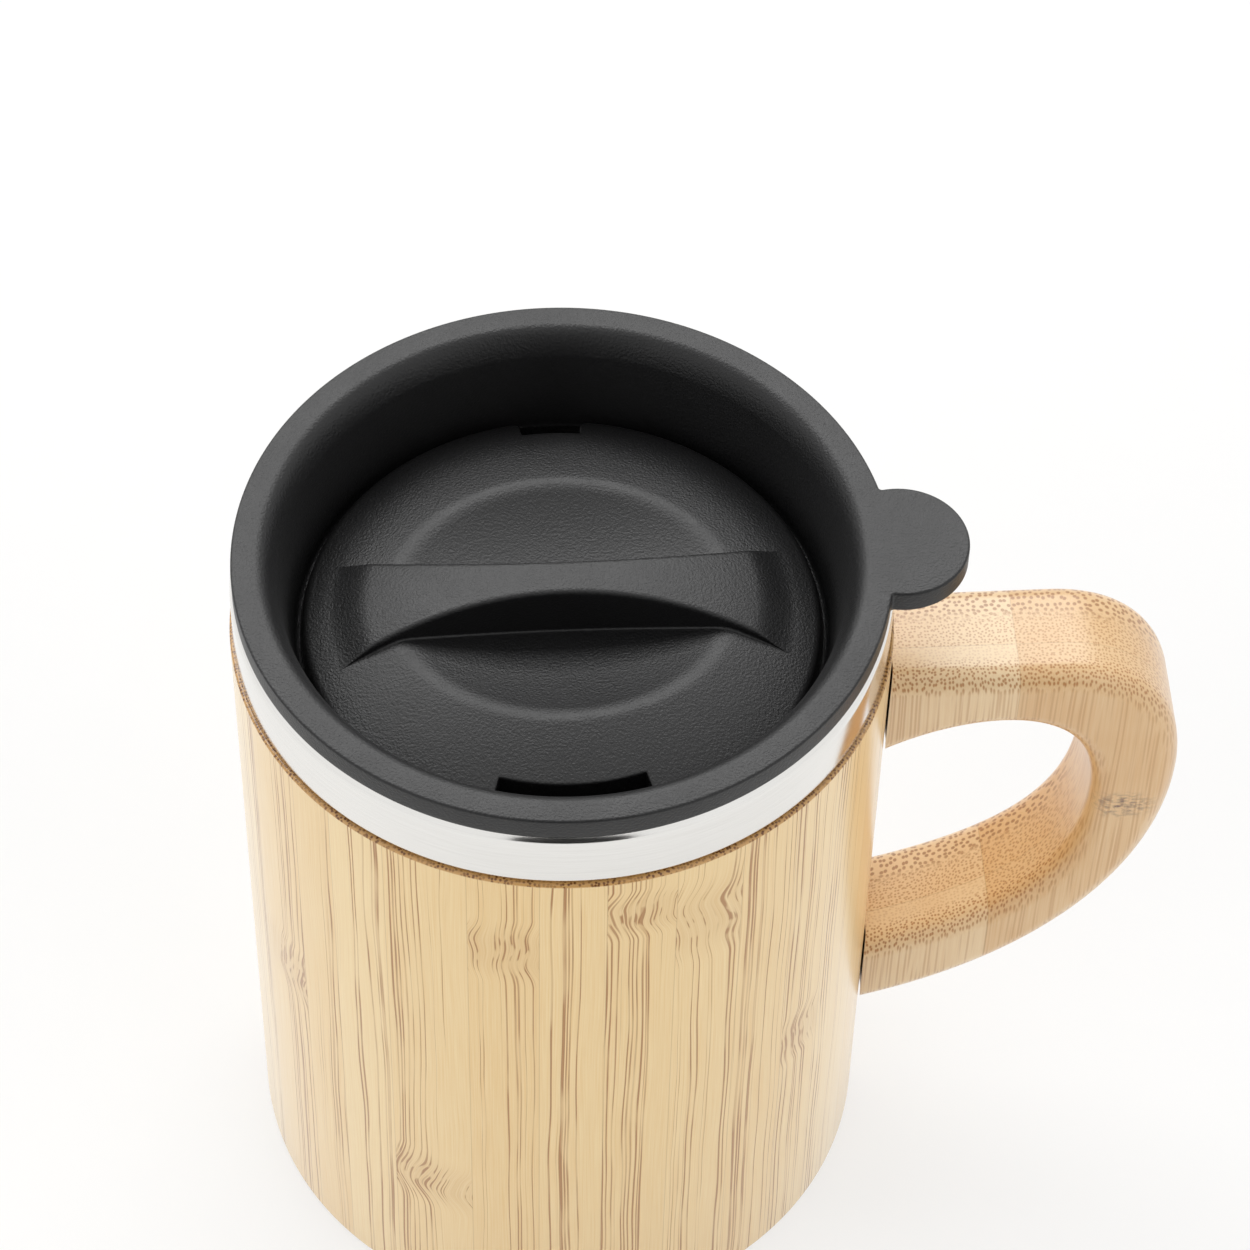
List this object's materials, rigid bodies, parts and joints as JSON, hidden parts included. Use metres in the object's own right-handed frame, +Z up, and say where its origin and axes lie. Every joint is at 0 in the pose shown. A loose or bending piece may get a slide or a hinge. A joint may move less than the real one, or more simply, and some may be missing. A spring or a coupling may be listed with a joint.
{
  "type": "insulated mug",
  "caption": "Double-walled steel mug in a turned bamboo body with a bamboo ear handle and a black press-in lid with a turning drink dial.",
  "frame": {"origin": "centre of the flat underside, on the surface the mug stands on", "axes": "+Z up along the mug's axis, +X towards the handle, -Y towards the drinking hole"},
  "size_m": [0.1309, 0.0896, 0.1221],
  "materials": {
    "bamboo": "turned laminated bamboo with upright strips, sanded and thinly lacquered",
    "bamboo_board": "laminated bamboo board with rounded edges, thinly lacquered",
    "steel": "drawn stainless steel, finely polished round the band",
    "black_plastic": "moulded polypropylene with a fine grain",
    "silicone": "moulded silicone, satin"
  },
  "bodies": {
    "mug": {"bamboo_sleeve": "bamboo", "bamboo_base": "bamboo", "outer_shell": "steel", "steel_band": "steel", "shell_base": "steel", "inner_liner": "steel", "handle": "bamboo_board", "handle_dowel_upper": "bamboo_board", "handle_dowel_lower": "bamboo_board"},
    "lid": {"lid_body": "black_plastic", "lid_gasket": "silicone"},
    "dial": {"drink_dial": "black_plastic", "dial_seal": "silicone", "dial_screw": "steel"}
  },
  "joints": [
    {"name": "lid_lift", "type": "slide", "parent": "mug", "child": "lid", "axis": [0, 0, 1], "range_m": [0, 0.06]},
    {"name": "dial_turn", "type": "hinge", "parent": "lid", "child": "dial", "pos_m": [0, 0, 0.11], "axis": [0, 0, 1], "continuous": true}
  ]
}
